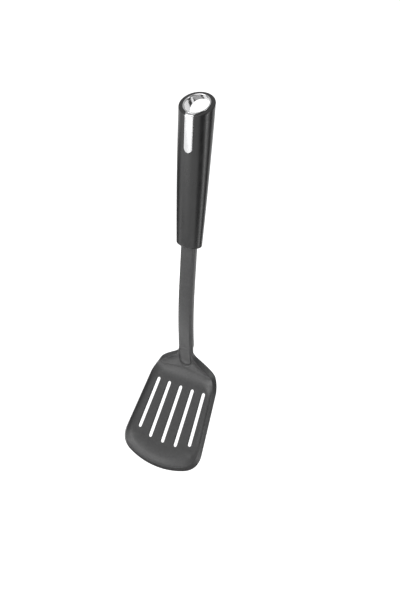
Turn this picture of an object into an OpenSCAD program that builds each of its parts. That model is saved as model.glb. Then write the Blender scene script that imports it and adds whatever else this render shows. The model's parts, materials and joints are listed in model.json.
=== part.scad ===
// Slotted nylon turner with a tapered grip and a chrome hanging ring in the grip's slanted end.
// The origin is the centre of the hanging ring. +Z runs up the grip's axis, the food side faces -Y,
// and the turner hangs from the ring, so the blade is the lowest part.

/* [Grip] */
// Length of the grip from the ring's centre down to its lower end
grip_len = 124; // [115:1:130]
// Width of the grip at the ring
grip_top_w = 30.8; // [30:0.2:33]
// Depth of the grip, front to back, at the ring
grip_top_d = 25; // [24:0.2:28]
// Width of the grip at its lower end
grip_low_w = 24; // [22:0.5:26]
// Depth of the grip at its lower end
grip_low_d = 16; // [15:0.5:19]
// Slant of the grip's end face, which rises towards the back
end_slant = 28; // [26:1:30]
// Thickness of the soft sleeve over the rigid core
sleeve_t = 2.2; // [1.8:0.1:2.4]
// Thickness of the sleeve's floor around the neck
floor_t = 3; // [2:0.5:4]

/* [Hanging ring] */
// Radius of the hanging hole inside the ring
hole_r = 10.3; // [9.8:0.1:10.5]
// Tilt of the hanging hole away from the grip's axis, towards the back
hole_tilt = 36; // [34:1:38]
// Width of the ring's visible face
ring_face = 1.3; // [1:0.1:1.5]
// Depth of the ring's flange in the end face
flange_t = 2; // [1.5:0.1:2.4]
// Length of the ring's skirt down the hole
skirt_len = 5.5; // [5:0.1:6]
// Wall of the ring's skirt and of the liner behind it
liner_t = 1; // [0.8:0.1:1.1]
// Step from the skirt's bore out to the liner's bore
liner_step = 0.7; // [0.5:0.1:0.8]
// Width of the tab that runs down the grip's front
tab_w = 7.8; // [6:0.2:9]
// Distance from the ring's centre down to the tab's rounded end
tab_len = 38; // [30:1:50]
// Thickness of the tab
tab_t = 1.3; // [1:0.1:1.6]

/* [Neck and tang] */
// Width of the neck
neck_w = 12.7; // [11:0.1:14]
// Thickness of the neck, front to back
neck_t = 6.1; // [5.5:0.1:6.5]
// Distance of the neck's front face in front of the grip's axis
neck_front = 3.4; // [3:0.1:3.8]
// Width of the tang inside the grip
tang_w = 10; // [8:0.5:11]
// Thickness of the tang
tang_t = 4.2; // [3.5:0.1:5]
// Length of the tang above the grip's floor
tang_len = 58; // [50:1:64]
// Width of the moulded channel down the neck's back
channel_w = 6.5; // [5:0.5:8]
// Depth of the channel
channel_t = 2.2; // [1:0.2:3]
// Diameter of the steel pins through the tang
pin_d = 3; // [2:0.5:4]
// Length of the pins
pin_len = 11; // [9:0.5:12]

/* [Blade] */
// Tilt of the blade forward of the grip's axis
blade_tilt = 35.2; // [33:0.2:37]
// Half width of the blade level with the slots' upper ends
blade_half_top = 36; // [34:0.5:38]
// Half width of the blade at its lower corners
blade_half_low = 41.6; // [40:0.2:43.6]
// Distance from the slots' upper ends down to the middle of the tip
tip_len = 81; // [78:1:84]
// Radius of the tip's curve
tip_r = 84; // [78:1:95]
// Radius of the lower corners
corner_r = 13; // [10:0.5:16]
// Thickness of the blade's web between the slots
web_t = 2.2; // [2:0.1:2.6]
// Height of the raised edge above the web's front
edge_h = 2.3; // [1.5:0.1:2.6]
// Width of the raised edge, measured in from the outline
edge_w = 5; // [4:0.5:6]
// Width of the bevel along the tip
bevel_w = 3.6; // [3:0.2:5]
// Thickness left at the very tip
tip_t = 0.8; // [0.6:0.1:1.2]

/* [Slots] */
// Number of slots
slot_count = 5; // [3:2:5]
// Width of a slot
slot_w = 3.5; // [3:0.1:4]
// Spacing of the slots' upper ends
slot_pitch = 12.5; // [12:0.1:13]
// Fan of the slots: angle from one to the next
slot_fan = 1.5; // [1:0.1:2]
// Length of the middle slot
slot_len = 57.6; // [50:0.2:60]

/* [Hidden] */
eps = 0.01;
wide = 120;                              // longer than any cut that it makes
curve_steps = 12;                        // points along each curve of an outline
grip_floor = -grip_len + floor_t;        // top of the sleeve's floor
grip_top = 14;                           // a station above the slanted end, which is cut off
end_round = 1.6;                         // rounding of the grip's lower end
core_drop = 12;                          // core's end face below the sleeve's
pin_z = [-78, -104];                     // heights of the two pins
// the neck's front line: straight, then leaning back to the valley above the blade
neck_bend_z = -165;
valley = [7.3, -256];
// a point of the blade's front face, at the upper end of the middle slot, in y and z
blade_at = [-1.3, -273.5];
flat_start = 8;                          // the blade is flat from here above that point
shoulder_top = -230;                     // where the neck begins to widen
shoulder_low = -262;                     // where the raised edge stops being parted by the neck
shoulder_h = -6;                         // where the shoulders meet the blade's sides
side_h = tip_len - corner_r - 7;         // where the sides meet the lower corners
corner_x = blade_half_low - 0.9 * corner_r;  // where the lower corners meet the tip's curve
channel_low = -205;                      // lower end of the channel down the neck's back
channel_len = 70;

function bez2(a, b, c, n = curve_steps) =
    [for (i = [0:n]) let (t = i / n) (1 - t) * (1 - t) * a + 2 * t * (1 - t) * b + t * t * c];
function bez3(a, b, c, d, n = curve_steps) =
    [for (i = [0:n]) let (t = i / n, s = 1 - t)
        s * s * s * a + 3 * s * s * t * b + 3 * s * t * t * c + t * t * t * d];
function reversed(line) = [for (i = [len(line) - 1:-1:0]) line[i]];
function mirrored(half) = concat(half, [for (p = reversed(half)) if (p[0] > eps) [-p[0], p[1]]]);
// a point of the web's front line, h down the blade, and a step of n out of its front face
function along_blade(h) = blade_at - h * [sin(blade_tilt), cos(blade_tilt)];
function ahead(n) = n * [-cos(blade_tilt), sin(blade_tilt)];
// a point of the blade's plane seen from the front, and the tip's curve across the blade
function seen(x, h) = [x, along_blade(h)[1]];
function tip_h(x) = tip_len - tip_r + sqrt(tip_r * tip_r - x * x);
function half_w(z) = grip_top_w / 2 + z / grip_len * (grip_top_w - grip_low_w) / 2;
function half_d(z) = grip_top_d / 2 + z / grip_len * (grip_top_d - grip_low_d) / 2;
function blade_half(h) = blade_half_top + h / side_h * (blade_half_low - blade_half_top);

// ---------- grip ----------

// The grip's outer form, shrunk by inset, before its end is cut
module grip_form(inset = 0, low = -grip_len) {
    stations = [low, low + end_round, grip_top];
    trims = [end_round, 0, 0];
    hull() for (i = [0:len(stations) - 1])
        translate([0, 0, stations[i]])
            linear_extrude(eps)
                scale([half_w(stations[i]) - inset - trims[i], half_d(stations[i]) - inset - trims[i]])
                    circle(1, $fn = 56);
}

// Everything above the slanted end face, lowered by drop
module above_end(drop = 0) {
    rotate([end_slant, 0, 0]) translate([-wide / 2, -wide / 2, -drop]) cube([wide, wide, wide]);
}

// A cylinder along the hanging hole's axis, from depth a to depth b
module hole_cut(r, a, b) {
    rotate([hole_tilt, 0, 0]) translate([0, 0, -b]) cylinder(r = r, h = b - a, $fn = 96);
}

// The tab: a strip down the grip's front, over the edge of the end face to the ring
module tab_form() {
    rim_z = -half_d(0) * tan(end_slant);
    front = [for (z = [rim_z, -tab_len]) [-half_d(z) - 0.1, z]];
    ring_y = -hole_r * cos(end_slant);
    side = [
        [ring_y, ring_y * tan(end_slant)],
        front[0],
        front[1],
        front[1] + [tab_t, 0],
        front[0] + [tab_t, -tab_t / 2],
        [ring_y, ring_y * tan(end_slant) - flange_t]
    ];
    intersection() {
        rotate([90, 0, 90]) translate([0, 0, -tab_w / 2]) linear_extrude(tab_w) polygon(side);
        union() {
            translate([0, 0, -tab_len + tab_w / 2])
                rotate([90, 0, 0]) cylinder(d = tab_w, h = wide, center = true, $fn = 64);
            translate([-tab_w / 2, -wide / 2, -tab_len + tab_w / 2]) cube([tab_w, wide, wide]);
        }
    }
}

// The ring's flange, square to the end face
module flange_form() {
    rotate([end_slant, 0, 0]) translate([0, 0, -flange_t])
        cylinder(r = hole_r + ring_face, h = flange_t, $fn = 96);
}

// All the space that the ring trim and the liner take in the sleeve and the core
module trim_space() {
    hole_cut(hole_r + liner_t, -wide / 2, skirt_len);
    hole_cut(hole_r + liner_step + liner_t, skirt_len, wide);
    flange_form();
    tab_form();
}

module grip_sleeve() {
    color("#262626")
    difference() {
        grip_form();
        above_end();
        difference() {
            grip_form(sleeve_t, grip_floor);
            above_end(core_drop);
        }
        trim_space();
        neck_bar(neck_w, neck_t, -grip_len - 1, grip_floor + 1);
    }
}

module core_form() {
    difference() {
        grip_form(sleeve_t, grip_floor);
        above_end(core_drop);
        trim_space();
        neck_bar(tang_w, tang_t, grip_floor - 1, grip_floor + tang_len);
        pin_bars(wide);
    }
}

module core_front() {
    color("#3a3a3c")
    intersection() {
        core_form();
        translate([-wide / 2, -wide, -wide * 1.5]) cube([wide, wide, wide * 2]);
    }
}

module core_rear() {
    color("#48484a")
    intersection() {
        core_form();
        translate([-wide / 2, 0, -wide * 1.5]) cube([wide, wide, wide * 2]);
    }
}

// ---------- ring ----------

module ring_trim() {
    color("#d9dadc")
    difference() {
        union() {
            flange_form();
            tab_form();
            difference() {
                hole_cut(hole_r + liner_t, -flange_t, skirt_len);
                above_end();
            }
        }
        hole_cut(hole_r, -wide / 2, wide / 2);
    }
}

module hole_liner() {
    color("#c4c6c9")
    intersection() {
        difference() {
            hole_cut(hole_r + liner_step + liner_t, skirt_len, wide / 2);
            hole_cut(hole_r + liner_step, skirt_len - 1, wide);
        }
        grip_form();
    }
}

// ---------- tang and pins ----------

// A bar on the neck's centre line, from height low to height high
module neck_bar(w, t, low, high) {
    translate([-w / 2, -neck_front + (neck_t - t) / 2, low]) cube([w, t, high - low]);
}

module pin_bars(length) {
    for (z = pin_z) translate([0, -neck_front + neck_t / 2, z])
        rotate([90, 0, 0]) cylinder(d = pin_d, h = length, center = true, $fn = 32);
}

module tang_pins() {
    color("#9a9da1") pin_bars(pin_len);
}

// ---------- head ----------

// The web's front line from the grip to past the tip, in y and z
function front_line() = concat(
    [[-neck_front, grip_floor]],
    bez3([-neck_front, neck_bend_z], [-neck_front, -215], [4, -240], valley),
    bez2(valley + [0.2, -1], valley + [0.9, -4.3], along_blade(-flat_start)),
    [along_blade(tip_len + 4)]
);

// Its back line: the neck's thickness above, the web's thickness below
function back_line() = concat(
    [[neck_t - neck_front, grip_floor]],
    bez3([neck_t - neck_front, neck_bend_z], [neck_t - neck_front, -213], [8.2, -238], valley + [4, 0]),
    bez2(valley + [4, -1], valley + [4.3, -4.5], along_blade(-flat_start) + ahead(-web_t)),
    [along_blade(tip_len + 4) + ahead(-web_t)]
);

// The raised edge's front line, from the neck's side round the shoulders to the tip
function edge_line() = concat(
    [[1, shoulder_top]],
    bez2([0.5, -240], [3.5, -263], along_blade(0) + ahead(edge_h)),
    [along_blade(tip_len + 4) + ahead(edge_h)]
);

// Half of the head's outline seen from the front: neck, shoulder, side, lower corner and tip
function head_half_line() = concat(
    [[neck_w / 2, grip_floor]],
    bez2([neck_w / 2, shoulder_top], [neck_w / 2, -236.5], [12.2, -238.2]),
    bez2([22.3, -245.4], [32.4, -252], seen(blade_half(shoulder_h), shoulder_h)),
    [seen(blade_half(side_h), side_h)],
    bez2(seen(blade_half(side_h + 1), side_h + 1), seen(blade_half_low + 0.9, tip_h(corner_x) - 3),
         seen(corner_x, tip_h(corner_x))),
    [for (i = [curve_steps - 1:-1:0]) let (x = corner_x * i / curve_steps) seen(x, tip_h(x))]
);

// A shape of the side view, extruded across the head
module across() {
    rotate([90, 0, 90]) translate([0, 0, -wide / 2]) linear_extrude(wide) children();
}

// A shape of the front view, extruded from front to back
module front_to_back() {
    rotate([90, 0, 0]) translate([0, 0, -wide / 2]) linear_extrude(wide) children();
}

// The neck and the thin web of the shoulders and the blade
module web() {
    intersection() {
        across() polygon(concat(front_line(), reversed(back_line())));
        front_to_back() polygon(mirrored(head_half_line()));
    }
}

// The raised edge all round the blade, which leaves a shallow dish in front of the web
module raised_edge() {
    outline = mirrored([for (p = head_half_line()) if (p[1] <= shoulder_top) p]);
    behind = [for (p = front_line()) if (p[1] <= shoulder_top) p + [0.5, 0]];
    intersection() {
        across() polygon(concat(edge_line(), reversed(behind)));
        front_to_back() difference() {
            polygon(outline);
            offset(delta = -edge_w) polygon(outline);
            translate([-neck_w / 2, shoulder_low]) square([neck_w, wide]);
        }
    }
}

// Places a shape drawn in the blade's own plane: x across, y down the blade from the slots'
// upper ends, z in front of the web's front face
module on_blade() {
    translate([0, blade_at[0], blade_at[1]])
        rotate([-90 - blade_tilt, 0, 0])
            mirror([0, 0, 1]) children();
}

module slot(i) {
    length = slot_len - (abs(i) == 2 ? 5.2 : abs(i) * 0.5);
    translate([i * slot_pitch, 0, -wide / 4]) rotate([0, 0, -i * slot_fan]) {
        translate([0, slot_w / 2, 0]) cylinder(d = slot_w, h = wide / 2, $fn = 32);
        translate([-slot_w / 2, slot_w / 2, 0]) cube([slot_w, length - slot_w, wide / 2]);
        translate([0, length - slot_w / 2, 0]) cylinder(d = slot_w, h = wide / 2, $fn = 32);
    }
}

// What is cut off the front of the tip to leave the bevel
module tip_bevel() {
    translate([0, tip_len - tip_r, 0]) rotate_extrude($fn = 200) polygon([
        [tip_r - bevel_w, edge_h],
        [tip_r, tip_t - web_t],
        [tip_r + 9, tip_t - web_t],
        [tip_r + 9, edge_h + 9],
        [tip_r - bevel_w, edge_h + 9]
    ]);
}

module turner_head() {
    reach = (slot_count - 1) / 2;
    color("#3c3d3f")
    difference() {
        union() {
            web();
            raised_edge();
            neck_bar(tang_w, tang_t, grip_floor - eps, grip_floor + tang_len);
        }
        pin_bars(wide);
        // the channel down the neck's back
        translate([-channel_w / 2, neck_t - neck_front - channel_t, channel_low])
            cube([channel_w, wide, channel_len]);
        on_blade() {
            for (i = [-reach:reach]) slot(i);
            tip_bevel();
        }
    }
}

turner_head();
core_front();
core_rear();
tang_pins();
grip_sleeve();
ring_trim();
hole_liner();
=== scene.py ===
"""A slotted nylon turner with a satin black grip and a chrome hanging ring, hanging in a pale studio.

Lengths are in millimetres in the part's own frame and become metres when a mesh is made.
The origin is the centre of the hanging ring, +Z runs up the grip and the food side faces -Y.
"""

import json
import math

import bmesh
import bpy
import numpy as np
from mathutils import Matrix, Vector
from mathutils.geometry import delaunay_2d_cdt


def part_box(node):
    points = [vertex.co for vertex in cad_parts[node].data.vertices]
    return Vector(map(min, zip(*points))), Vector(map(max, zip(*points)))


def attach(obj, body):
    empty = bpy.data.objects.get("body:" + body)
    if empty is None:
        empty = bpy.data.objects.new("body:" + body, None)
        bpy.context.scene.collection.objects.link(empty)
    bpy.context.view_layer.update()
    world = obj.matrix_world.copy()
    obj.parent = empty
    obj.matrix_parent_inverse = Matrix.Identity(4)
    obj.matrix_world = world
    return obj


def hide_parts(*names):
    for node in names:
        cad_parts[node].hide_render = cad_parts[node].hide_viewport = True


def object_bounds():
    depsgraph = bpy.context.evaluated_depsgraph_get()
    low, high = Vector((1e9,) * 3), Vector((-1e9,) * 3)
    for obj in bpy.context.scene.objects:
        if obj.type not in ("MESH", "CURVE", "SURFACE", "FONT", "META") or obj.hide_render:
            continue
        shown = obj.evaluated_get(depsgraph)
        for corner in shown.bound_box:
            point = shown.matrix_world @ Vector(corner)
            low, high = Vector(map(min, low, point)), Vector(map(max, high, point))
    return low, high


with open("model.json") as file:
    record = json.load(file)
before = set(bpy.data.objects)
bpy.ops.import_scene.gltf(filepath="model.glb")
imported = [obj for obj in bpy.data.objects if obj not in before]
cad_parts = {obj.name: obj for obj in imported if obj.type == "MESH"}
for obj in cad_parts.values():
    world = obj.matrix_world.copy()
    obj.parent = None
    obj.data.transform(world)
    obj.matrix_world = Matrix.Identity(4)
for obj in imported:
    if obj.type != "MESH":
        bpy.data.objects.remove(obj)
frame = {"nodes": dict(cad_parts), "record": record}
cad_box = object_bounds()
MM = 0.001


# ---------- measures taken from the frame ----------

def box_mm(node):
    """A CAD node's lowest and highest corners, in millimetres"""
    return tuple(np.array(corner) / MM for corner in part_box(node))


HOLE = frame["record"]["mounts"][0]
HOLE_R = HOLE["dims"]["r_mm"]
HOLE_AXIS = np.array(HOLE["axis"])
HOLE_BACK = np.array([0, HOLE_AXIS[2], -HOLE_AXIS[1]])   # square to the axis, towards the back
RIGHT = np.array([1.0, 0, 0])

GRIP_LOW_Z = box_mm("grip_sleeve")[0][2]
GRIP_HALF_W = [15.4, 12.0]           # at the ring and at the lower end
GRIP_HALF_D = [12.5, 8.0]
END_SLANT = math.radians(28)
END_UP = np.array([0, math.cos(END_SLANT), math.sin(END_SLANT)])   # up the end face, to the back
END_NORMAL = np.array([0, -math.sin(END_SLANT), math.cos(END_SLANT)])
END_DROP = 0.45                      # the sleeve's end face lies this much below the ring's centre
RIM_ROUND = 1.0
LOW_ROUND = 1.7                      # rounding of the grip's lower end
SIDE_LEAN = -0.0036                  # how far the front of the grip leans, for the tab's normals

RING_R = HOLE_R + 1.3                # outside of the ring's flange
SKIRT_DEPTH = 3.6
LINER_BORE_R = HOLE_R + 0.7
LINER_R = LINER_BORE_R + 1.0
SLEEVE_HOLE_R = LINER_R + 0.05
SEAT_DEPTH = 1.2                     # the ring's seat in the end face
TUNNEL_TOP = 4.0                     # depth at which the hole's tunnel starts
EXIT_ROUND = 0.5                     # rounding of the tunnel's exit in the grip's back
TAB_HALF = 3.9
TAB_END_Z = -38.0
TAB_PROUD = 0.2                      # the tab's face stands this much outside the grip

NECK_HALF = 6.8
NECK_T = 6.9
NECK_FRONT_Y = -3.4
NECK_SINK = 3                        # how far the neck runs into the grip
TONGUE_HALF = 5.8                    # the neck's front face, carried down into the shoulders
TONGUE_END_Z = -254.0
TANG_HALF = 5.0
TANG_T = 4.2
TANG_STEP = 0.7                      # half the length of the step from the neck to the tang
TANG_TOP_Z = box_mm("turner_head")[1][2]
PIN_R = 1.5
PIN_Z = [-78.0, -104.0]

BLADE_TILT = math.radians(35.2)
BLADE_AT = np.array([-1.3, -273.5])  # y and z of the web's front at the middle slot's upper end
VALLEY = np.array([7.3, -256.0])     # where the neck's lean ends and the blade's begins
WEB_T = 2.0
EDGE_T = 0.7                         # thickness left at the outline
BASE = 2.8                           # thickness of the web where it meets the bevelled edge
TIP_S = 81.1                         # the tip's middle, from the middle slot's upper end
TIP_R = 78.0
CORNER_X = 29.0                      # where the rounded corner meets the tip's arc
TIP_DISH = 19.0                      # how far back from the tip the web starts to rise
BLADE_TOP_S = -46                    # the bevelled edge starts here, below the neck
RIDGE_ROUND = 0.55                   # how softly the bevel runs over the ridge into the dish
SLOT_ROUND = 0.35
CHANNEL_DEPTH = 2.2                  # the channel in the neck's back
CHANNEL_TOP_S = -154.5

MERGE = 2e-6                         # points closer than this are merged, in metres
BATCH = 1500                         # points handled at once, which holds down the memory


# ---------- small geometry helpers ----------

def smooth(low, high, x):
    """0 below low, 1 above high and an S-shaped rise between them"""
    t = np.clip((x - low) / (high - low), 0, 1)
    return t * t * (3 - 2 * t)


def mix(a, b, t):
    """The value at t between a, at 0, and b, at 1"""
    return a + (b - a) * t


def bezier(*points, count=24):
    """Points along a Bezier curve, without its first point so that curves can be chained"""
    t = np.linspace(0, 1, count + 1)[1:, None]
    order = len(points) - 1
    return sum(math.comb(order, k) * (1 - t) ** (order - k) * t ** k * np.array(p, float)
               for k, p in enumerate(points))


def unit(v):
    """The vectors at length 1"""
    return v / np.linalg.norm(v, axis=-1, keepdims=True)


def resampled(line, steps):
    """The line's points respaced along its length; steps gives the spacing wanted at each point"""
    line = np.asarray(line, float)
    along = np.r_[0, np.cumsum(np.linalg.norm(np.diff(line, axis=0), axis=1))]
    fine_step = 0.05
    fine = np.arange(0, along[-1], fine_step)
    dense = np.stack([np.interp(fine, along, line[:, k]) for k in range(line.shape[1])], 1)
    count = np.cumsum(fine_step / steps(dense))
    picks = np.interp(np.linspace(count[0], count[-1], int(round(count[-1])) + 1), count, fine)
    return np.stack([np.interp(picks, along, line[:, k]) for k in range(line.shape[1])], 1)


def mirrored(half):
    """A closed outline from its right half, whose first and last points lie on the centre line"""
    return np.concatenate([half, [[-1, 1]] * half[-2:0:-1]])


def near_loop(points, loop):
    """For each point: its distance from a closed loop, and the place on the loop that is nearest"""
    a, b = loop, np.roll(loop, -1, axis=0)
    ab = b - a
    length2 = np.maximum((ab ** 2).sum(1), 1e-12)
    distance, place = np.empty(len(points)), np.empty((len(points), 2))
    for at in range(0, len(points), BATCH):
        part = points[at:at + BATCH, None, :]
        t = np.clip(((part - a) * ab).sum(2) / length2, 0, 1)
        foot = a + t[..., None] * ab
        gap = ((part - foot) ** 2).sum(2)
        best = gap.argmin(1)
        row = np.arange(len(best))
        distance[at:at + BATCH] = np.sqrt(gap[row, best])
        place[at:at + BATCH] = foot[row, best]
    return distance, place


def inside(points, loop):
    """Which points lie inside a closed loop"""
    a, b = loop, np.roll(loop, -1, axis=0)
    result = np.zeros(len(points), bool)
    for at in range(0, len(points), BATCH):
        x, y = points[at:at + BATCH, 0, None], points[at:at + BATCH, 1, None]
        crosses = (a[:, 1] > y) != (b[:, 1] > y)
        rise = np.where(b[:, 1] == a[:, 1], 1e-9, b[:, 1] - a[:, 1])
        left = x < a[:, 0] + (y - a[:, 1]) / rise * (b[:, 0] - a[:, 0])
        result[at:at + BATCH] = (crosses & left).sum(1) % 2 == 1
    return result


def normals_of(loop):
    """Outward normals of a closed loop that runs anticlockwise"""
    along = unit(np.roll(loop, -1, axis=0) - np.roll(loop, 1, axis=0))
    return np.stack([along[:, 1], -along[:, 0]], 1)


def anticlockwise(loop):
    """The loop, turned round if it runs clockwise"""
    x, y = loop[:, 0], loop[:, 1]
    area = (x * np.roll(y, -1) - np.roll(x, -1) * y).sum()
    return loop if area > 0 else loop[::-1].copy()


def rows_inside(loop, offsets):
    """Points in rows inside a loop; each row's offset is a number or one number for each point"""
    normal = normals_of(loop)
    found = []
    for offset in offsets:
        offset = np.broadcast_to(offset, len(loop))
        row = loop - normal * offset[:, None]
        gap, _ = near_loop(row, loop)
        # a point much nearer the loop than its offset has crossed to another part of it
        found.append(row[(gap > 0.93 * offset) & (offset > 1e-6)])
    return found


def clear_of(points, outline, holes, edge_gap, hole_gap):
    """The points inside an outline and outside its holes that keep off both by a gap"""
    ok = inside(points, outline) & (near_loop(points, outline)[0] > edge_gap)
    for hole in holes:
        ok &= ~inside(points, hole) & (near_loop(points, hole)[0] > hole_gap)
    return points[ok]


class Cells:
    """Points kept in square cells, to find quickly whether one of them is near a place"""

    def __init__(self, size, points=()):
        self.size, self.cells = size, {}
        for p in points:
            self.add(p)

    def key(self, p):
        """The cell that a point lies in"""
        return int(p[0] // self.size), int(p[1] // self.size)

    def add(self, p):
        """Puts a point in its cell"""
        self.cells.setdefault(self.key(p), []).append(p)

    def has_near(self, p):
        """Whether a point lies within one cell's size of p"""
        i, j = self.key(p)
        around_p = ((i + di, j + dj) for di in (-1, 0, 1) for dj in (-1, 0, 1))
        return any((p[0] - q[0]) ** 2 + (p[1] - q[1]) ** 2 <= self.size ** 2
                   for cell in around_p for q in self.cells.get(cell, ()))


def thinned(points, spacing):
    """The points, without those closer than the spacing to one that came before"""
    kept, cells = [], Cells(spacing)
    for p in points:
        if not cells.has_near(p):
            kept.append(p)
            cells.add(p)
    return np.array(kept)


def hex_grid(low, high, step):
    """Points of an even triangular grid between two corners"""
    rows = []
    row_step = 0.866 * step
    for k, y in enumerate(np.arange(low[1], high[1], row_step)):
        x = np.arange(low[0] + (k % 2) * step / 2, high[0], step)
        rows.append(np.stack([x, np.full(len(x), y)], 1))
    return np.concatenate(rows)


def triangulated(loops, extra):
    """Points and triangles that fill the first loop, outside the other loops, through the extra points"""
    points = np.concatenate(loops + [extra])
    edges, start = [], 0
    for loop in loops:
        n = len(loop)
        edges += [(start + i, start + (i + 1) % n) for i in range(n)]
        start += n
    out = delaunay_2d_cdt([Vector(p) for p in points], edges, [], 0, 1e-5)
    flat = np.array([tuple(v) for v in out[0]])
    tris = np.array([f for f in out[2] if len(f) == 3])
    middle = flat[tris].mean(1)
    keep = inside(middle, loops[0])
    for loop in loops[1:]:
        keep &= ~inside(middle, loop)
    tris = tris[keep]
    used = np.unique(tris)
    renumber = np.full(len(flat), -1)
    renumber[used] = np.arange(len(used))
    return flat[used], renumber[tris]


def border_of(tris):
    """The directed edges that only one triangle has"""
    edges = {}
    for a, b, c in tris.tolist():
        for e in ((a, b), (b, c), (c, a)):
            edges[e] = True
    return [e for e in edges if (e[1], e[0]) not in edges]


def mesh_object(name, points_mm, faces):
    """A mesh object from points in millimetres, with merged doubles and outward normals"""
    mesh = bpy.data.meshes.new(name)
    mesh.from_pydata((np.asarray(points_mm) * MM).tolist(), [], [list(f) for f in faces])
    bm = bmesh.new()
    bm.from_mesh(mesh)
    bmesh.ops.remove_doubles(bm, verts=bm.verts, dist=MERGE)
    bmesh.ops.dissolve_degenerate(bm, edges=bm.edges, dist=1e-7)
    bmesh.ops.recalc_face_normals(bm, faces=bm.faces)
    for face in bm.faces:
        face.smooth = True
    bm.to_mesh(mesh)
    bm.free()
    obj = bpy.data.objects.new(name, mesh)
    bpy.context.scene.collection.objects.link(obj)
    return obj


def slab(name, loops, extra, top, bottom, place, wall_rows=1):
    """A closed sheet over a flat outline: place(points, height) bends it into its shape"""
    flat, tris = triangulated(loops, extra)
    high, low = top(flat), bottom(flat)
    n = len(flat)
    points = [place(flat, high), place(flat, low)]
    faces = [tuple(t) for t in tris] + [tuple(t[::-1] + n) for t in tris]
    border = border_of(tris)
    ids = sorted({i for e in border for i in e})
    column = {i: [i] for i in ids}
    for k in range(1, wall_rows):
        level = mix(high[ids], low[ids], k / wall_rows)
        start = sum(len(p) for p in points)
        points.append(place(flat[ids], level))
        for j, i in enumerate(ids):
            column[i].append(start + j)
    for i in ids:
        column[i].append(i + n)
    for a, b in border:
        for k in range(wall_rows):
            faces.append((column[b][k], column[a][k], column[a][k + 1], column[b][k + 1]))
    return mesh_object(name, np.concatenate(points), faces)


def rounding(distance, radius):
    """How far a rounded edge falls below its face, at a distance from the edge"""
    inner = np.clip(radius - distance, 0, radius)
    return radius - np.sqrt(np.maximum(radius ** 2 - inner ** 2, 0))


def loft(rings, close=False):
    """Points and faces of a tube through rings of equal count; close joins the last to the first"""
    count, total = len(rings[0]), len(rings)
    faces = []
    for k in range(total if close else total - 1):
        a, b = k * count, (k + 1) % total * count
        faces += [(a + j, a + (j + 1) % count, b + (j + 1) % count, b + j) for j in range(count)]
    return np.concatenate(rings), faces


def stitched(ring_a, turn_a, ring_b, turn_b):
    """Points and triangles between two closed rings of different counts, matched by their turn"""
    full = 2 * math.pi
    na, nb = len(turn_a), len(turn_b)
    order_a, order_b = np.argsort(turn_a % full), np.argsort(turn_b % full)
    ta, tb = (turn_a % full)[order_a], (turn_b % full)[order_b]
    ta, tb = np.r_[ta, ta[0] + full], np.r_[tb, tb[0] + full]
    i = j = 0
    faces = []
    while i < na or j < nb:
        a, b = order_a[i % na], na + order_b[j % nb]
        if j == nb or (i < na and ta[i + 1] <= tb[j + 1]):
            faces.append((a, order_a[(i + 1) % na], b))
            i += 1
        else:
            faces.append((a, na + order_b[(j + 1) % nb], b))
            j += 1
    return np.concatenate([ring_a, ring_b]), faces


def joined(*parts):
    """One set of points and faces from several"""
    faces, start = [], 0
    for points, part_faces in parts:
        faces += [tuple(i + start for i in face) for face in part_faces]
        start += len(points)
    return np.concatenate([points for points, _ in parts]), faces


def corner_curve(a, corner, b, t):
    """A point of the curve from a to b that rounds the corner between them"""
    return (1 - t) ** 2 * a + 2 * t * (1 - t) * corner + t * t * b


# ---------- the head: tang, neck, shoulders and blade in one sheet ----------

def head_profile():
    """The web's front line in y and z, by its length s from the middle slot's upper end"""
    down = np.array([-math.sin(BLADE_TILT), -math.cos(BLADE_TILT)])
    flat_from = BLADE_AT - 8 * down
    line = np.concatenate([
        [[NECK_FRONT_Y, TANG_TOP_Z + 2]],
        bezier((NECK_FRONT_Y, -165), (NECK_FRONT_Y, -215), (4, -240), VALLEY, count=120),
        bezier(VALLEY + [0.2, -1], VALLEY + [0.9, -4.3], flat_from, count=60),
        [BLADE_AT + (TIP_S + 4) * down],
    ])
    along = np.r_[0, np.cumsum(np.linalg.norm(np.diff(line, axis=0), axis=1))]
    step, reach = 0.25, 20               # the bend is blurred over this many steps each way
    s = np.arange(0, along[-1], step)
    points = np.stack([np.interp(s, along, line[:, k]) for k in (0, 1)], 1)
    turn = np.gradient(points, s, axis=0)
    lean = np.unwrap(np.arctan2(turn[:, 0], -turn[:, 1]))
    blur = np.exp(-0.5 * (np.arange(-reach, reach + 1) * step / 1.8) ** 2)
    lean = np.convolve(np.pad(lean, reach, "edge"), blur / blur.sum(), "valid")
    zero = s[np.linalg.norm(points - BLADE_AT, axis=1).argmin()]
    return s - zero, points, lean


PROFILE_S, PROFILE_YZ, PROFILE_LEAN = head_profile()


def s_at(z):
    """The length along the profile at a height z"""
    return float(np.interp(-z, -PROFILE_YZ[:, 1], PROFILE_S))


def place_on_head(flat, height):
    """Points of the flat pattern (x, s), raised by a height in front of the web's front line"""
    s = flat[:, 1]
    lean = np.interp(s, PROFILE_S, PROFILE_LEAN)
    y = np.interp(s, PROFILE_S, PROFILE_YZ[:, 0]) - height * np.cos(lean)
    z = np.interp(s, PROFILE_S, PROFILE_YZ[:, 1]) - height * np.sin(lean)
    return np.stack([flat[:, 0], y, z], 1)


NECK_TOP_S = s_at(GRIP_LOW_Z + NECK_SINK)
TONGUE_END_S = s_at(TONGUE_END_Z) - TONGUE_HALF      # the centre of the tongue's round end


def tip_arc(x):
    """The tip's arc: its s at a distance x from the middle"""
    return TIP_S - TIP_R + np.sqrt(TIP_R ** 2 - x ** 2)


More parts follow.
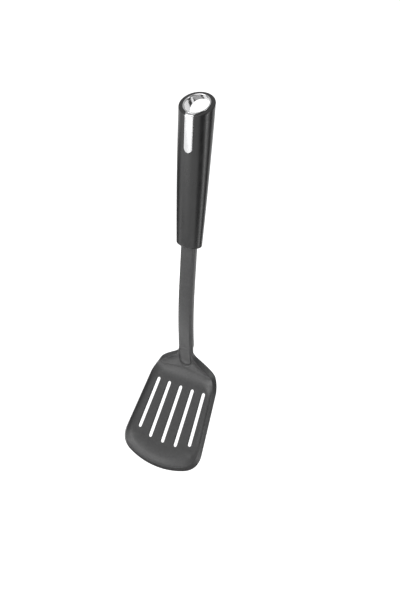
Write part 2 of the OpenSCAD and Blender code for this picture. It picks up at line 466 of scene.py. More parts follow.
def head_outline():
    """The flat pattern's outline: tang, neck, shoulder, side, rounded corner and tip"""
    top_s = s_at(TANG_TOP_Z)
    neck_end, shoulder_foot, side_end = (NECK_HALF, -45.5), (11, -34.9), (41.8, 55)
    tip_x = np.linspace(CORNER_X, 0, 40)[1:]
    half = np.concatenate([
        [[0, top_s], [TANG_HALF - 1, top_s], [TANG_HALF, top_s + 1]],
        [[TANG_HALF, NECK_TOP_S - TANG_STEP], [NECK_HALF, NECK_TOP_S + TANG_STEP], neck_end],
        bezier(neck_end, (NECK_HALF, -38.7), shoulder_foot),
        bezier(shoulder_foot, (22.5, -26.3), (32.8, -20.6), (35.9, -4), count=60),
        [side_end],
        bezier(side_end, (42.8, 65.5), (37.7, 72.1), (CORNER_X, tip_arc(CORNER_X)), count=40),
        np.stack([tip_x, tip_arc(tip_x)], 1),
    ])
    # the tang and the neck need fewer points than the blade
    half = resampled(half, lambda p: np.where(p[:, 1] < -52, 2.4, 0.9))
    half[0, 0] = half[-1, 0] = 0
    return anticlockwise(mirrored(half))


# the middle slot and the right two: x and s of each end
SLOT_ENDS = [((0, 0), (0, 57.6)), ((12.65, -0.3), (13.85, 56.9)), ((24.7, -0.7), (27.55, 51.7))]
SLOT_R = 1.85


def slot_loops():
    """The five slots: each a straight slot with round ends, mirrored about the middle one"""
    loops = []
    for (x0, s0), (x1, s1) in SLOT_ENDS:
        for side in ((1, -1) if x0 else (1,)):
            a, b = np.array([side * x0, s0 + SLOT_R]), np.array([side * x1, s1 - SLOT_R])
            along = unit(b - a)
            turn = math.atan2(along[1], along[0])
            ends = []
            for centre, start in ((b, turn - math.pi / 2), (a, turn + math.pi / 2)):
                angle = start + np.linspace(0, math.pi, 15)
                ends.append(centre + SLOT_R * np.stack([np.cos(angle), np.sin(angle)], 1))
            line = np.concatenate([ends[0], ends[1], ends[0][:1]])
            loops.append(anticlockwise(resampled(line, lambda p: np.full(len(p), 0.8))[:-1]))
    return loops


def pin_loops():
    """The two pin holes through the tang"""
    angle = np.linspace(0, 2 * math.pi, 25)[:-1]
    return [np.stack([PIN_R * np.cos(angle), s_at(z) + PIN_R * np.sin(angle)], 1) for z in PIN_Z]


def bevel_width(s):
    """Width of the outer bevel: none on the neck, 2.4 mm down the sides and wider along the tip"""
    return 1.9 * smooth(-45, -33, s) + 0.5 * smooth(-24, -8, s) + 1.2 * smooth(48, 66, s)


def ridge_height(s):
    """Height of the raised edge in front of the web"""
    return 2.4 * smooth(-41, -29, s) - 0.3 * smooth(0, 50, s) + 0.8 * smooth(52, 68, s)


def bend_fill(s):
    """Extra height in the hollow of the bend, which makes it one long soft curve"""
    return 2.0 * np.exp(-((s + 16.5) / 8) ** 2)


def dish_width(s):
    """How far in from the bevel the front falls to the web"""
    return 14 - 9 * smooth(-20, 4, s) + 2 * smooth(44, 66, s)


def edge_round(s):
    """Radius of the rounded edge: wide on the neck and fine on the blade"""
    return mix(1.1, 0.28, smooth(-44, -36, s))


def tongue_distance(flat):
    """Distance outside the tongue, the neck's front face carried down into the shoulders"""
    x, s = flat[:, 0], flat[:, 1]
    return np.where(s < TONGUE_END_S, np.abs(x), np.hypot(x, s - TONGUE_END_S)) - TONGUE_HALF


def tongue_step(flat):
    """The tongue stands a little in front of the shoulders"""
    return 0.3 * (1 - smooth(-0.4, 0.4, tongue_distance(flat))) * smooth(-100, -60, flat[:, 1])


def tongue_line(flat):
    """Depth of the fine groove round the tongue, which is deeper in the shoulders"""
    lower = smooth(-46, -36, flat[:, 1])
    return mix(0.28, 0.65, lower) * np.exp(-(tongue_distance(flat) / mix(0.45, 0.6, lower)) ** 2)


def crown(flat):
    """The neck's front is slightly round across"""
    return 0.45 * (flat[:, 0] / NECK_HALF) ** 2 * (1 - smooth(-60, -44, flat[:, 1]))


def tang_cut(s):
    """How far each face steps in where the neck becomes the tang"""
    return (NECK_T - TANG_T) / 2 * (1 - smooth(NECK_TOP_S - TANG_STEP, NECK_TOP_S + TANG_STEP, s))


def soft_lower(a, b, blend):
    """The lower of two heights, with a rounded corner where they cross"""
    t = np.clip(0.5 + 0.5 * (b - a) / blend, 0, 1)
    return mix(b, a, t) - blend * t * (1 - t)


def line_at(x, s):
    """A straight row of the flat pattern at one x"""
    return np.stack([np.full(len(s), x), s], 1)


def tongue_rows():
    """Rows along the groove round the tongue and up the neck"""
    angle = np.linspace(0, math.pi, 36)
    round_end = np.stack([np.cos(angle), np.sin(angle)], 1)
    side = np.r_[np.arange(s_at(GRIP_LOW_Z) - 2, -50, 1.6), np.arange(-50, TONGUE_END_S, 0.6)]
    rows = []
    for t in (-0.75, -0.5, -0.3, -0.15, 0, 0.15, 0.3, 0.5, 0.75):
        rows.append(round_end * (TONGUE_HALF + t) + [0, TONGUE_END_S])
        rows += [line_at(k * (TONGUE_HALF + t), side) for k in (1, -1)]
    return rows


def channel_rows():
    """Rows along the walls of the channel in the neck's back"""
    side = np.arange(-154, -70, 2.0)
    return [line_at(k * t, side) for k in (1, -1) for t in (2.2, 2.5, 2.9, 3.3, 3.7, 4.0)]


class Head:
    """The head's flat pattern and the heights of its two faces"""

    def __init__(self):
        self.outline = head_outline()
        self.slots = slot_loops()
        self.pins = pin_loops()

    def slot_gap(self, flat):
        """Distance from the nearest slot's edge"""
        return np.min([near_loop(flat, loop)[0] for loop in self.slots], axis=0)

    def front(self, flat):
        """Height of the front face: bevel, ridge and dish on the blade, tongue and crown above"""
        d, foot = near_loop(flat, self.outline)
        s = foot[:, 1]
        width, ridge = np.maximum(bevel_width(s), 0.02), ridge_height(s)
        low = -(BASE - EDGE_T) * smooth(-45, -36, s)
        bevel = low + (ridge - low) * d / width
        side = np.clip(1 - (d - width) / dish_width(s), 0, 2) ** 2
        tip_gap = TIP_R - np.hypot(flat[:, 0], flat[:, 1] - TIP_S + TIP_R)
        tip = np.clip(1 - (tip_gap - width) / TIP_DISH, 0, 1) ** 2
        dish = bend_fill(flat[:, 1]) + (ridge - bend_fill(s)) * (1 - (1 - side) * (1 - tip))
        blade = np.where(flat[:, 1] < BLADE_TOP_S, 0, soft_lower(bevel, dish, RIDGE_ROUND))
        height = blade + tongue_step(flat) - tongue_line(flat) - crown(flat)
        height -= tang_cut(flat[:, 1])
        return height - rounding(d, edge_round(s)) - rounding(self.slot_gap(flat), SLOT_ROUND)

    def back(self, flat):
        """Height of the back face: the web, the neck's rib with its channel, and the thicker edge"""
        d, foot = near_loop(flat, self.outline)
        x, s = np.abs(flat[:, 0]), flat[:, 1]
        rib_half = 5.0 + 5 * (1 - smooth(-52, -42, s))
        rib = (1 - smooth(rib_half, rib_half + 3.6, x)) * (1 - smooth(BLADE_TOP_S, -12, s))
        channel = (1 - smooth(2.5, 3.7, x)) * (1 - smooth(-88, -74, s))
        channel = channel * smooth(CHANNEL_TOP_S, CHANNEL_TOP_S + 1.5, s)
        thickness = WEB_T + (NECK_T - WEB_T) * rib - CHANNEL_DEPTH * channel - tang_cut(s)
        edge = smooth(-45, -36, foot[:, 1]) * (1 - smooth(2.5, 7, d))
        thickness += np.maximum(BASE - thickness, 0) * edge
        thickness -= rounding(d, edge_round(foot[:, 1]))
        return -(thickness - rounding(self.slot_gap(flat), SLOT_ROUND))

    def edge_rows(self):
        """Rows beside the outline, closest together where the surface bends"""
        s = self.outline[:, 1]
        radius, width = edge_round(s), bevel_width(s)
        arc = [radius * (1 - math.cos(math.radians(a))) for a in (20, 40, 60, 78, 90)]
        band = [np.where(width > 0.8, radius + (width - 0.4 - radius) * t, 0) for t in (0.35, 0.7)]
        ridge = [np.where(width > 0.5, width + t, radius + t + 0.5)
                 for t in (-0.4, -0.18, 0, 0.18, 0.4, 0.75)]
        dish = [width + t for t in (1.3, 2.0, 2.9, 4.0, 5.3, 6.8, 8.4, 10)]
        return rows_inside(self.outline, arc + band + ridge + dish)

    def hole_rows(self):
        """Rows round the slots and the pin holes"""
        offsets = [(loop, (0.03, 0.1, 0.2, 0.35, 0.75, 1.4)) for loop in self.slots]
        offsets += [(loop, (0.5, 1.2)) for loop in self.pins]
        return [loop + normals_of(loop) * t for loop, gaps in offsets for t in gaps]

    def extra_points(self):
        """The mesh's inner points: rows where the surface bends and an even grid between them"""
        holes = self.slots + self.pins
        lines = np.concatenate(self.edge_rows() + self.hole_rows() + tongue_rows() + channel_rows())
        lines = thinned(clear_of(lines, self.outline, holes, 0.015, 0.02), 0.09)
        grid = hex_grid(self.outline.min(0), self.outline.max(0), 2.0)
        grid = clear_of(grid, self.outline, holes, 0.015, 1.8)
        near_lines = Cells(1.0, lines)
        return np.concatenate([lines, [p for p in grid if not near_lines.has_near(p)]])

    def make(self):
        """The head's mesh object"""
        return slab("head", [self.outline] + self.slots + self.pins, self.extra_points(),
                    self.front, self.back, place_on_head, wall_rows=2)


# ---------- the grip ----------

def belly(z):
    """The grip's sides are slightly full between its ends"""
    t = np.clip(z / GRIP_LOW_Z, 0, 1)
    return 2.4 * t * (1 - t)


def half_w(z):
    """Half the grip's width at a height z"""
    return mix(GRIP_HALF_W[0], GRIP_HALF_W[1], z / GRIP_LOW_Z) + belly(z)


def half_d(z):
    """Half the grip's depth at a height z"""
    return mix(GRIP_HALF_D[0], GRIP_HALF_D[1], z / GRIP_LOW_Z) + 0.4 * belly(z) + mid_y(z)


def mid_y(z):
    """The section's centre: the back stands a little further out near the ring"""
    return 0.45 * smooth(-60, -5, z)


def on_grip(angle, z, inset=0.0):
    """A point of the grip's side: angle 0 is its front and a quarter turn is +X"""
    w, d = half_w(z), half_d(z)
    side = unit(np.stack([np.sin(angle) / w, -np.cos(angle) / d], -1))
    x = w * np.sin(angle) - inset * side[..., 0]
    y = mid_y(z) - d * np.cos(angle) - inset * side[..., 1]
    return np.stack(np.broadcast_arrays(x, y, z), -1)


def end_height(y):
    """The slanted end face: its height at a depth y"""
    return y * math.tan(END_SLANT) - END_DROP / math.cos(END_SLANT)


END_CENTRE = np.array([0, 0, end_height(0)])


def rim_point(angle):
    """The corner between the grip's side and its slanted end face"""
    z = np.zeros_like(angle)
    for _ in range(30):
        z = end_height(on_grip(angle, z)[..., 1])
    return on_grip(angle, z)


def rim_setback(angle):
    """The rim's corner, the unit directions down the side and in across the end, and the setback"""
    corner = rim_point(angle)
    down = unit(on_grip(angle, corner[:, 2] - 1) - corner)
    across = unit(END_CENTRE - corner)
    opening = np.arccos(np.clip((down * across).sum(1), -1, 1))
    return corner, down, across, RIM_ROUND / np.tan(opening / 2)


def hole_point(turn, radius, depth):
    """A point of the hanging hole's wall: turn 0 is +X and a quarter turn is towards the back"""
    turn, radius, depth = np.broadcast_arrays(turn, radius, depth)
    return (radius * np.cos(turn))[..., None] * RIGHT \
        + (radius * np.sin(turn))[..., None] * HOLE_BACK - depth[..., None] * HOLE_AXIS


def outside_grip(points, inset):
    """Which points lie outside the grip's side, drawn in by an inset"""
    x, y, z = points.T
    return (x / (half_w(z) - inset)) ** 2 + ((y - mid_y(z)) / (half_d(z) - inset)) ** 2 > 1


def exit_depth(turn, radius, inset=0.0):
    """How deep the hole's wall runs before it leaves the back of the grip"""
    near, far = np.zeros_like(turn), np.full_like(turn, 70.0)
    for _ in range(40):
        depth = (near + far) / 2
        p = hole_point(turn, radius, depth)
        out = outside_grip(p, inset) & (p[:, 1] > 0)
        near, far = np.where(out, near, depth), np.where(out, depth, far)
    return (near + far) / 2


COLUMNS = 180                        # points round the grip
UNROLL = 13.5                        # the flat pattern's length per radian round the grip
SEAM = -math.pi / 2                  # the pattern's seam runs down the grip's left side


def grip_angles():
    """The grip's columns, from the seam round to the seam again"""
    return SEAM + np.arange(COLUMNS + 1) * 2 * math.pi / COLUMNS


def place_on_grip(flat, height):
    """Points of the grip's flat pattern, raised by a height out of its side"""
    return on_grip(flat[:, 0] / UNROLL, flat[:, 1], -height)


def hole_turns():
    """Even turns round the hanging hole's exit"""
    return np.arange(120) * 2 * math.pi / 120


def exit_loop(radius):
    """The hole's exit in the grip's flat pattern"""
    turn = hole_turns()
    p = hole_point(turn, radius, exit_depth(turn, radius))
    angle = np.arctan2(p[:, 0] / half_w(p[:, 2]), (mid_y(p[:, 2]) - p[:, 1]) / half_d(p[:, 2]))
    angle = np.where(angle < SEAM, angle + 2 * math.pi, angle)
    return np.stack([angle * UNROLL, p[:, 2]], 1)


def tab_gap(flat):
    """Distance outside the tab's outline, in the grip's flat pattern"""
    x = half_w(flat[:, 1]) * np.sin(flat[:, 0] / UNROLL)
    x = np.where(np.cos(flat[:, 0] / UNROLL) > 0, x, 99.0)
    end = TAB_END_Z + TAB_HALF
    return np.where(flat[:, 1] > end, np.abs(x), np.hypot(x, flat[:, 1] - end)) - TAB_HALF


def tab_groove_rows():
    """Rows along the groove beside the tab"""
    end = TAB_END_Z + TAB_HALF
    turn, side_z = np.linspace(0, math.pi, 26), np.arange(end, 0, 0.9)
    rows = []
    for t in (-0.35, -0.15, 0.0, 0.12, 0.25, 0.4, 0.6, 1.0):
        half = TAB_HALF + t
        x, z = half * np.cos(turn), end - half * np.sin(turn)
        rows.append(np.stack([np.arcsin(x / half_w(z)) * UNROLL, z], 1))
        for side in (1, -1):
            rows.append(np.stack([np.arcsin(side * half / half_w(side_z)) * UNROLL, side_z], 1))
    return rows


def sleeve_side(angle, top_z):
    """The side wall: a flat pattern with the hole's exit and the tab's groove, bent round the grip"""
    low_z = GRIP_LOW_Z + LOW_ROUND
    top_line = np.stack([angle * UNROLL, top_z], 1)
    bottom_line = np.stack([angle * UNROLL, np.full(len(angle), low_z)], 1)
    seam_z = np.arange(low_z, top_z[0], 2.0)[1:-1]
    left, right = line_at(angle[0] * UNROLL, seam_z), line_at(angle[-1] * UNROLL, seam_z)
    outline = np.concatenate([bottom_line, right, top_line[::-1], left[::-1]])
    hole = anticlockwise(exit_loop(SLEEVE_HOLE_R))

    rows = [hole + normals_of(hole) * t for t in (0.06, 0.18, 0.35, 0.55, 1.0, 1.7, 2.6)]
    rows += tab_groove_rows()
    for t in (0.5, 1.2, 2.2):
        rows += [top_line[1:-1] - [0, t], bottom_line[1:-1] + [0, t]]
    lines = thinned(clear_of(np.concatenate(rows), outline, [hole], 0.2, 0.03), 0.1)
    grid = clear_of(hex_grid(outline.min(0), outline.max(0), 1.7), outline, [hole], 0.8, 3.0)
    grid = grid[np.abs(tab_gap(grid) - 0.3) > 1.2]
    flat, tris = triangulated([outline, hole], np.concatenate([lines, grid]))

    gap = tab_gap(flat)
    groove = 0.5 * smooth(-0.05, 0.1, gap) * (1 - smooth(0.22, 0.42, gap))
    groove *= smooth(0.1, 0.9, near_loop(flat, outline)[0])
    edge = rounding(near_loop(flat, hole)[0], EXIT_ROUND)
    return place_on_grip(flat, -groove - edge), [tuple(t) for t in tris]


def end_rings(angle, top_z, corner, across, setback):
    """Rings over the rounded rim, across the end face, down the ring's seat and into the hole"""
    a, b = on_grip(angle, top_z), corner + across * setback[:, None]
    rim = [corner_curve(a, corner, b, t) for t in np.linspace(0, 1, 7)]
    out = unit(b - END_CENTRE)
    seat = out * (RING_R - 0.1) + END_CENTRE
    face = [mix(b, seat, t) for t in (0.25, 0.5, 0.75, 0.95, 1)]
    turn = np.unwrap(np.arctan2(out @ HOLE_BACK, out[:, 0]))
    floor = seat - END_NORMAL * SEAT_DEPTH
    return rim + face + [floor, hole_point(turn, SLEEVE_HOLE_R, TUNNEL_TOP)], turn


def low_rings(angle):
    """Rings round the rounded lower end and into the slot that the neck fills"""
    rings = []
    for t in np.linspace(0, math.pi / 2, 7):
        z = np.full(len(angle), GRIP_LOW_Z + LOW_ROUND * (1 - math.sin(t)))
        rings.append(on_grip(angle, z, LOW_ROUND * (1 - math.cos(t))))
    centre = np.array([0, NECK_FRONT_Y + NECK_T / 2, GRIP_LOW_Z])
    slot = box_ring(angle, NECK_HALF - 0.05, NECK_T / 2 - 0.05) + centre
    rings += [mix(rings[-1], slot, t) for t in (0.2, 0.5, 0.8, 1)]
    floor = np.broadcast_to(centre, slot.shape)
    return rings + [slot + [0, 0, NECK_SINK], floor + [0, 0, NECK_SINK]]


def make_sleeve():
    """The grip's mesh object: its side, slanted end, the hole's tunnel and the lower end"""
    angle = grip_angles()
    corner, down, across, setback = rim_setback(angle)
    top_z = (corner + down * setback[:, None])[:, 2]
    side = sleeve_side(angle, top_z)
    # the rings are closed, so they leave out the seam's second column
    angle, top_z, corner, across, setback = (v[:-1] for v in (angle, top_z, corner, across, setback))
    rings, turn = end_rings(angle, top_z, corner, across, setback)
    exit_turn = hole_turns()
    exit_ring = place_on_grip(exit_loop(SLEEVE_HOLE_R), np.full(len(exit_turn), -EXIT_ROUND))
    tunnel = stitched(rings[-1], turn, exit_ring, exit_turn)
    return mesh_object("grip", *joined(side, loft(rings), tunnel, loft(low_rings(angle))))


def box_ring(angle, half_x, half_y):
    """A rectangle with small round corners, as one point for each angle"""
    x, y = np.sin(angle), -np.cos(angle)
    power = 14
    scale = (np.abs(x / half_x) ** power + np.abs(y / half_y) ** power) ** (-1 / power)
    return np.stack([x * scale, y * scale, np.zeros_like(x)], 1)


# ---------- the chrome ring, its tab and the liner ----------

LIP = 0.75                           # how far the rolled lip reaches out from the bore


def make_ring():
    """The ring's flange with a rolled lip, and the skirt down the hole"""
    turn = np.arange(144) * 2 * math.pi / 144
    around_end = np.cos(turn)[:, None] * RIGHT + np.sin(turn)[:, None] * END_UP

    def on_end(radius, height):
        """A ring on the end face's plane, raised by a height"""
        return radius * around_end + height * END_NORMAL

    # where the hole's wall meets the end plane, measured as a depth along each line of the wall
    mouth_depth = (hole_point(turn, HOLE_R, 0.0) @ END_NORMAL) / (HOLE_AXIS @ END_NORMAL)
    rows = [on_end(RING_R - 0.35, -1.4)] + [on_end(RING_R, height) for height in (-1.2, -0.5, -0.15)]
    for a in (30, 60, 90):
        rows.append(on_end(RING_R - 0.3 * (1 - math.cos(math.radians(a))),
                           -0.15 + 0.3 * math.sin(math.radians(a))))
    for a in (0, 15, 30, 45, 60, 75, 90):
        radius = HOLE_R + LIP * (1 - math.sin(math.radians(a)))
        depth = LIP * (1 - math.cos(math.radians(a)))
        rows.append(hole_point(turn, radius, mouth_depth + depth - 0.2))
    for t in (0.3, 0.6, 0.9, 1.0):
        rows.append(hole_point(turn, HOLE_R, mix(mouth_depth + LIP, SKIRT_DEPTH, t)))
    rows += [hole_point(turn, HOLE_R + 0.3, SKIRT_DEPTH + 0.1), hole_point(turn, HOLE_R + 0.9, SKIRT_DEPTH),
             hole_point(turn, HOLE_R + 0.9, mouth_depth + 1.0)]
    return loft(rows, close=True)


def place_on_tab(flat, height):
    """Points of the tab's flat pattern (x, q); q runs from the rim's corner, positive down the front"""
    x, q = flat[:, 0], flat[:, 1, None]
    corner, down, _, setback = rim_setback(np.arcsin(np.clip(x / GRIP_HALF_W[0], -1, 1)))
    setback = 1.3 * setback[:, None]
    z = (corner + down * np.maximum(q, 0))[:, 2]
    on_side = on_grip(np.arcsin(np.clip(x / half_w(z), -1, 1)), z)
    on_end = corner + END_UP * np.maximum(-q, 0)
    t = np.clip((q + setback) / (2 * setback), 0, 1)
    bend = corner_curve(corner + END_UP * setback, corner, corner + down * setback, t)
    point = np.where(q > setback, on_side, np.where(q < -setback, on_end, bend))
    side_normal = unit(np.stack([x / half_w(z) ** 2, on_side[:, 1] / half_d(z) ** 2,
                                 np.full(len(x), SIDE_LEAN)], 1))
    return point + unit(mix(END_NORMAL, side_normal, smooth(0, 1, t))) * height[:, None]


def tab_outline():
    """The tab's flat pattern: flared where it meets the ring, with a round lower end"""
    _, front_y, front_z = rim_point(np.zeros(1))[0]
    end_q = abs(TAB_END_Z - front_z)
    ring_q = -(abs(front_y) / math.cos(END_SLANT) - RING_R + 0.75)
    flare = TAB_HALF + 1.5
    angle = np.linspace(0, math.pi / 2, 20)
    half = np.concatenate([
        [[0, ring_q], [flare, ring_q]],
        bezier((flare, ring_q), (TAB_HALF + 0.15, ring_q + 0.7), (TAB_HALF, ring_q + 2.4), count=8),
        np.stack([TAB_HALF * np.cos(angle), end_q - TAB_HALF + TAB_HALF * np.sin(angle)], 1),
    ])
    half = resampled(half, lambda p: np.full(len(p), 0.55))
    half[0, 0] = half[-1, 0] = 0
    return anticlockwise(mirrored(half))


def make_trim():
    """The ring and its tab in one mesh object"""
    outline = tab_outline()
    rows = rows_inside(outline, [0.02, 0.08, 0.17, 0.3, 0.6, 1.1, 1.8, 2.6, 3.4])
    extra = thinned(np.concatenate(rows), 0.05)

    def top(flat):
        return TAB_PROUD - rounding(near_loop(flat, outline)[0], 0.3)

    def bottom(flat):
        return np.full(len(flat), -1.0)

    tab = slab("tab_blank", [outline], extra, top, bottom, place_on_tab)
    tab_points = np.array([v.co for v in tab.data.vertices]) / MM
    tab_faces = [tuple(p.vertices) for p in tab.data.polygons]
    bpy.data.objects.remove(tab)
    return mesh_object("ring_and_tab", *joined(make_ring(), (tab_points, tab_faces)))


def make_liner():
    """The liner's mesh object: a thin tube from the skirt to just inside the grip's back"""
    turn = np.arange(160) * 2 * math.pi / 160
    exit_in, exit_out = exit_depth(turn, LINER_BORE_R, 0.1), exit_depth(turn, LINER_R, 0.1)
    rows = [hole_point(turn, LINER_R, mix(exit_out, SKIRT_DEPTH, t)) for t in (0, 0.5, 1)]
    rows += [hole_point(turn, LINER_BORE_R, mix(SKIRT_DEPTH, exit_in - 0.3, t))
             for t in np.linspace(0, 1, 14)]
    rows.append(mix(hole_point(turn, LINER_BORE_R, exit_in), hole_point(turn, LINER_R, exit_out), 0.15))
    points, faces = loft(rows, close=True)
    return mesh_object("liner", points, faces)


# ---------- materials ----------

class Nodes:
    """Short calls to build a material's nodes"""

    def __init__(self, name):
        self.material = bpy.data.materials.new(name)
        self.material.use_nodes = True
        self.tree = self.material.node_tree
        self.shader = self.tree.nodes["Principled BSDF"]
        self.place = self.add("ShaderNodeTexCoord").outputs["Object"]

    def add(self, kind, **values):
        """A new node with the given settings"""
        node = self.tree.nodes.new(kind)
        for key, value in values.items():
            setattr(node, key, value)
        return node

    def link(self, source, target):
        """Joins an output to an input"""
        self.tree.links.new(source, target)

    def noise(self, scale, detail=2.0, rough=0.5, stretch=(1, 1, 1)):
        """Noise in the object's own space, scale waves to the metre"""
        mapping = self.add("ShaderNodeMapping")
        mapping.inputs["Scale"].default_value = stretch
        self.link(self.place, mapping.inputs["Vector"])
        noise = self.add("ShaderNodeTexNoise")
        noise.inputs["Scale"].default_value = scale
        noise.inputs["Detail"].default_value = detail
        noise.inputs["Roughness"].default_value = rough
        self.link(mapping.outputs["Vector"], noise.inputs["Vector"])
        return noise.outputs["Fac"]

    def ramp(self, source, low, high, at=(0.3, 0.7)):
        """Maps a value to numbers between low and high"""
        node = self.add("ShaderNodeMapRange")
        node.inputs["From Min"].default_value, node.inputs["From Max"].default_value = at
        node.inputs["To Min"].default_value, node.inputs["To Max"].default_value = low, high
        self.link(source, node.inputs["Value"])
        return node.outputs["Result"]

    def colours(self, source, low, high, at=(0.3, 0.7)):
        """Maps a value to colours between low and high"""
        node = self.add("ShaderNodeValToRGB")
        ends = node.color_ramp.elements
        ends[0].position, ends[1].position = at
        ends[0].color, ends[1].color = (*low, 1), (*high, 1)
        self.link(source, node.inputs["Fac"])
        return node.outputs["Color"]

    def bump(self, source, distance, strength, under=None):
        """A bump from a value, on top of another bump if one is given"""
        node = self.add("ShaderNodeBump")
        node.inputs["Distance"].default_value = distance
        node.inputs["Strength"].default_value = strength
        self.link(source, node.inputs["Height"])
        if under is not None:
            self.link(under, node.inputs["Normal"])
        return node.outputs["Normal"]

    def set(self, **values):
        """Sets the shader's own values"""
        for key, value in values.items():
            self.shader.inputs[key.replace("_", " ")].default_value = value

    def feed(self, name, source):
        """Drives one of the shader's inputs by a node"""
        self.link(source, self.shader.inputs[name])


def soft_touch_black():
    """The grip's soft overmould: satin, with a fine sprayed texture and faint handling marks"""
    n = Nodes("soft_touch_black")
    n.set(Roughness=0.3, IOR=1.52)
    patches = n.noise(38, 3)
    n.feed("Base Color", n.colours(patches, (0.0055, 0.0055, 0.0058), (0.0095, 0.0095, 0.0098)))
    n.feed("Roughness", n.ramp(n.noise(120, 4, 0.6), 0.26, 0.34))
    grain = n.bump(n.noise(3800, 2), 0.00003, 0.35)
    n.feed("Normal", n.bump(n.noise(260, 2), 0.00005, 0.15, grain))
    return n.material


def moulded_nylon():
    """The head's glass-filled nylon: eggshell, mottled, with a fine spark-eroded grain"""
    n = Nodes("moulded_nylon")
    n.set(Roughness=0.38, IOR=1.53)
    mottle = n.noise(420, 6, 0.7)
    n.feed("Base Color", n.colours(mottle, (0.015, 0.015, 0.0155), (0.028, 0.028, 0.0285)))
    n.feed("Roughness", n.ramp(n.noise(70, 4, 0.6), 0.34, 0.42))
    grain = n.bump(n.noise(2600, 3, 0.6), 0.00004, 0.35)
    flow = n.bump(n.noise(900, 3, 0.6, (1, 0.06, 0.06)), 0.00004, 0.10, grain)
    n.feed("Normal", n.bump(n.noise(420, 2, 0.5, (1, 1, 0.35)), 0.00005, 0.12, flow))
    return n.material


def plated_chrome():
    """Bright plating over a moulding: a faint orange peel and slight haze"""
    n = Nodes("plated_chrome")
    n.set(Metallic=1.0, Roughness=0.12)
    n.feed("Base Color", n.colours(n.noise(90, 2), (0.51, 0.51, 0.515), (0.57, 0.57, 0.575)))
    n.feed("Roughness", n.ramp(n.noise(200, 3), 0.09, 0.16))
    n.feed("Normal", n.bump(n.noise(450, 2), 0.00004, 0.10))
    return n.material


def core_plastic():
    """The grip's rigid core: plain moulded plastic"""
    n = Nodes("core_plastic")
    n.set(Roughness=0.6)
    n.feed("Base Color", n.colours(n.noise(200, 3), (0.040, 0.040, 0.043), (0.052, 0.052, 0.055)))
    n.feed("Normal", n.bump(n.noise(1500, 2), 0.00004, 0.3))
    return n.material


def drawn_steel():
    """The pins: steel with fine marks along its length"""
    n = Nodes("drawn_steel")
    n.set(Metallic=1.0, Roughness=0.3)
    n.feed("Base Color", n.colours(n.noise(300, 2), (0.50, 0.51, 0.52), (0.62, 0.63, 0.64)))
    n.feed("Roughness", n.ramp(n.noise(900, 3, 0.5, (1, 0.05, 1)), 0.24, 0.40))
    return n.material


# ---------- the object ----------

def give(obj, material, slot, *nodes):
    """Finishes a piece: its material, its body, and the CAD nodes that it stands for"""
    obj.data.materials.clear()
    obj.data.materials.append(material)
    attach(obj, "root")
    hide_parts(*nodes)


chrome, core = plated_chrome(), core_plastic()
give(Head().make(), moulded_nylon(), "head_nylon", "turner_head")
give(make_sleeve(), soft_touch_black(), "grip_soft", "grip_sleeve")
give(make_trim(), chrome, "trim_chrome", "ring_trim")
give(make_liner(), chrome, "trim_chrome", "hole_liner")
for node, material in (("core_front", core), ("core_rear", core), ("tang_pins", drawn_steel())):
    frame["nodes"][node].data.materials.clear()
    frame["nodes"][node].data.materials.append(material)


# ---------- the studio ----------

FLOOR_DROP = 0.25                    # the floor lies this far below the turner, in metres
FLOOR_HALF = 6.0
FLOOR_GLOW = 0.55                    # the lit floor's own light
SKY = 0.75
CAMERA_TURN = (26.79, 29.48, 3.67)   # azimuth, elevation and roll, in degrees
CAMERA_PLACE = (0.28731, -0.54129, 0.16793)
CAMERA_LENS = 46.67


def make_camera():
    """The camera stands to the right of the front, above the ring, with a slight roll"""
    azimuth, elevation, roll = (math.radians(a) for a in CAMERA_TURN)
    back = Vector((math.sin(azimuth) * math.cos(elevation), -math.cos(azimuth) * math.cos(elevation),
                   math.sin(elevation)))
    level = Vector((math.cos(azimuth), math.sin(azimuth), 0))
    rise = back.cross(level)
    right = level * math.cos(roll) + rise * math.sin(roll)
    up = back.cross(right)
    camera = bpy.data.cameras.new("camera")
    camera.lens, camera.sensor_width = CAMERA_LENS, 36
    camera.clip_start, camera.clip_end = 0.01, 50
    obj = bpy.data.objects.new("camera", camera)
    turn = Matrix((right, up, back)).transposed().to_4x4()
    obj.matrix_world = Matrix.Translation(Vector(CAMERA_PLACE)) @ turn
    bpy.context.scene.collection.objects.link(obj)
    bpy.context.scene.camera = obj


def soft_box(name, place, size, radiance, target=(0, 0, -0.18)):
    """A soft box that faces the object; it shows in the gloss but not to the camera"""
    light = bpy.data.lights.new(name, "AREA")
    light.shape, light.size, light.size_y = "RECTANGLE", *size
    light.energy = radiance * math.pi * size[0] * size[1]
    obj = bpy.data.objects.new(name, light)
    obj.location = place
    obj.rotation_mode = "QUATERNION"
    obj.rotation_quaternion = (Vector(target) - Vector(place)).to_track_quat("-Z", "Y")
    obj.visible_camera = False
    bpy.context.scene.collection.objects.link(obj)


def around(azimuth, distance, height):
    """A place round the object: azimuth 0 is in front of it and 90 degrees is to its right"""
    turn = math.radians(azimuth)
    return distance * math.sin(turn), -distance * math.cos(turn), height


def card(name, corners, shade):
    """A matt card that only the gloss sees; most hold light off the object, and the one under the turner is
    painted shade in place of its shadow on the floor
    """
    mesh = bpy.data.meshes.new(name)
    mesh.from_pydata(corners, [], [(0, 1, 2, 3)])
    obj = bpy.data.objects.new(name, mesh)
    bpy.context.scene.collection.objects.link(obj)
    n = Nodes(name)
    n.set(Roughness=1.0, Specular_IOR_Level=0.0)
    n.feed("Base Color", n.colours(n.noise(4, 2), (shade,) * 3, (shade * 1.2,) * 3))
    mesh.materials.append(n.material)
    obj.visible_camera = obj.visible_diffuse = False


def level_card(name, x, y, z, shade):
    """A card that lies level, between two values of x and of y"""
    card(name, [(x[0], y[0], z), (x[1], y[0], z), (x[1], y[1], z), (x[0], y[1], z)], shade)


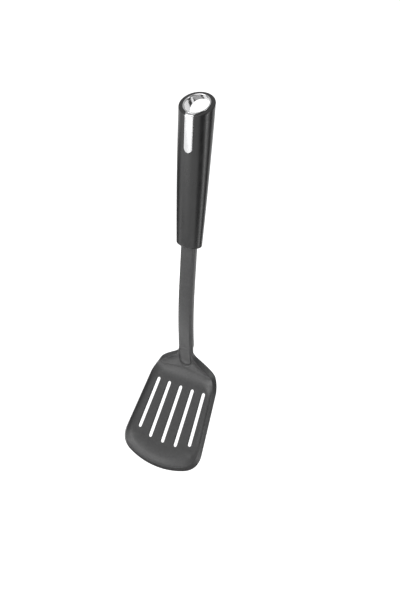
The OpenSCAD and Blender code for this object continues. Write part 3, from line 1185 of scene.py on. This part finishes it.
def upright_card(name, azimuth, distance, low, high, width, shade):
    """A card that stands round the object and faces it"""
    middle = np.array(around(azimuth, distance, 0))
    side = np.array(around(azimuth + 90, width / 2, 0))
    rise = np.array([0, 0, 1])
    corners = [(-1, low), (1, low), (1, high), (-1, high)]
    card(name, [tuple(middle + k * side + z * rise) for k, z in corners], shade)


def make_studio():
    """A bright floor under a pale sky, with soft boxes and the cards that shape the gloss"""
    floor_z = cad_box[0].z - FLOOR_DROP
    half = FLOOR_HALF
    mesh = bpy.data.meshes.new("floor")
    corners = [(-half, -half, 0), (half, -half, 0), (half, half, 0), (-half, half, 0)]
    mesh.from_pydata(corners, [], [(0, 1, 2, 3)])
    floor = bpy.data.objects.new("floor", mesh)
    floor.location.z = floor_z
    bpy.context.scene.collection.objects.link(floor)
    n = Nodes("pale_floor")
    n.set(Roughness=0.9, Specular_IOR_Level=0.2)
    n.feed("Base Color", n.colours(n.noise(3, 2), (0.86, 0.86, 0.86), (0.88, 0.88, 0.88)))
    n.set(Emission_Color=(1, 1, 1, 1), Emission_Strength=FLOOR_GLOW)
    mesh.materials.append(n.material)

    soft_box("right_strip", around(83, 0.8, -0.05), (0.13, 1.2), 3.8, (0, 0, -0.05))
    soft_box("top_box", around(-20, 0.85, 0.85), (1.0, 0.5), 4.2)
    soft_box("front_box", around(-36, 3.0, -0.20), (1.7, 0.7), 5.6, (0, 0, -0.20))
    for name, x, y, size, radiance in (("table_box", -0.44, -0.84, (0.5, 0.2), 0.5),
                                       ("near_box", -0.20, -0.29, (0.5, 0.22), 1.6),
                                       ("far_box", -1.1, -1.6, (1.6, 0.7), 1.2)):
        soft_box(name, (x, y, floor_z + 0.04), size, radiance, (x, y, 1))

    low = floor_z + 0.03
    level_card("neck_flag", (-0.75, 0.05), (-0.66, -0.42), low, 0.12)
    upright_card("left_flag", -98, 0.7, low, -0.26, 0.6, 0.05)
    upright_card("right_flag", 50, 0.7, low, 0.7, 0.42, 0.01)
    upright_card("back_flag", 118, 0.6, low, 0.5, 0.30, 0.05)
    # painted shade: a dark card under the turner, seen only in the gloss, stands in for the floor's shadow
    # beneath it
    level_card("under_shade_card", (-0.28, 0.4), (-0.20, 0.4), low, 0.09)

    world = bpy.data.worlds.new("studio")
    world.use_nodes = True
    world.node_tree.nodes["Background"].inputs["Color"].default_value = (1, 1, 1, 1)
    world.node_tree.nodes["Background"].inputs["Strength"].default_value = SKY
    bpy.context.scene.world = world
    bpy.context.scene.view_settings.view_transform = "Standard"


make_camera()
make_studio()
